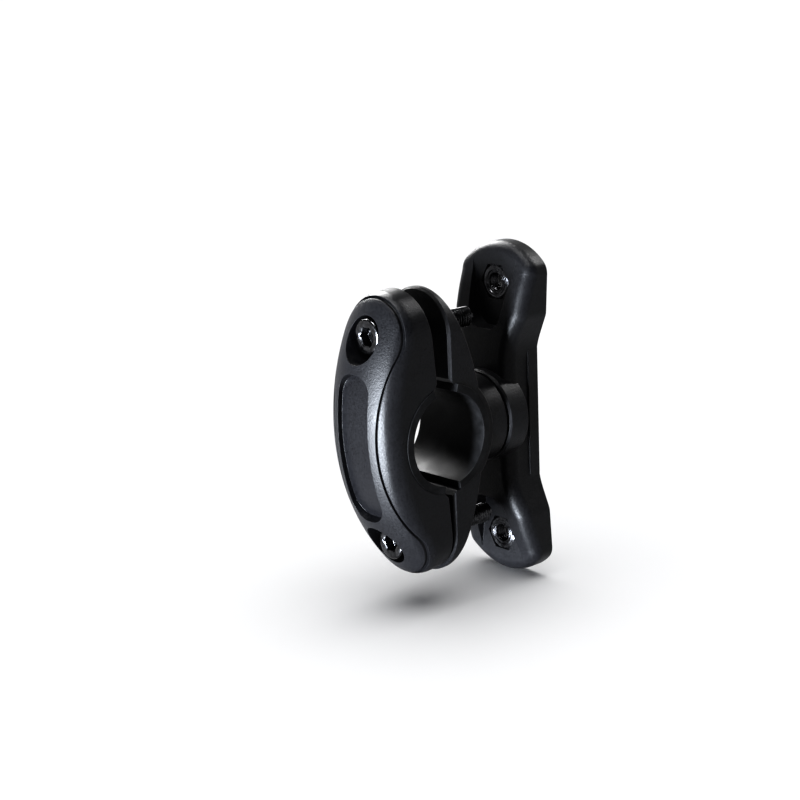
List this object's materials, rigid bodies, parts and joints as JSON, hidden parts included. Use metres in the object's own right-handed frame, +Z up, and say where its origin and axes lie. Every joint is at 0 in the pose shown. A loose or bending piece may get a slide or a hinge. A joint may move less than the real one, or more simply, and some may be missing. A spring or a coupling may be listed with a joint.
{
  "type": "bottle cage adapter",
  "caption": "Two-part handlebar clamp with rubber liners, carrying a long swivelling arm on a toothed pivot, with nuts for a bottle cage.",
  "frame": {"origin": "centre of the clamp, on the axis of the bar it grips", "axes": "+X along the bar, +Y from the clamp's front half to the cage arm, +Z up along the arm"},
  "size_m": [0.0244, 0.0522, 0.0836],
  "materials": {
    "shell_plastic": "spark textured",
    "liner_rubber": "smooth",
    "screw_steel": "black oxide",
    "nut_steel": "zinc plated"
  },
  "bodies": {
    "clamp": {"front_clamp_half": "shell_plastic", "rear_clamp_half": "shell_plastic", "front_liner": "liner_rubber", "rear_liner": "liner_rubber", "upper_clamp_screw": "screw_steel", "upper_clamp_nut": "nut_steel", "lower_clamp_screw": "screw_steel", "lower_clamp_nut": "nut_steel", "pivot_screw": "screw_steel", "pivot_washer": "nut_steel", "pivot_nut": "nut_steel"},
    "arm": {"cage_arm": "shell_plastic", "upper_cage_nut": "nut_steel", "lower_cage_nut": "nut_steel"}
  },
  "joints": [
    {"name": "arm_swivel", "type": "hinge", "parent": "clamp", "child": "arm", "pos_m": [0, 0.0195, 0], "axis": [0, 1, 0], "continuous": true}
  ]
}
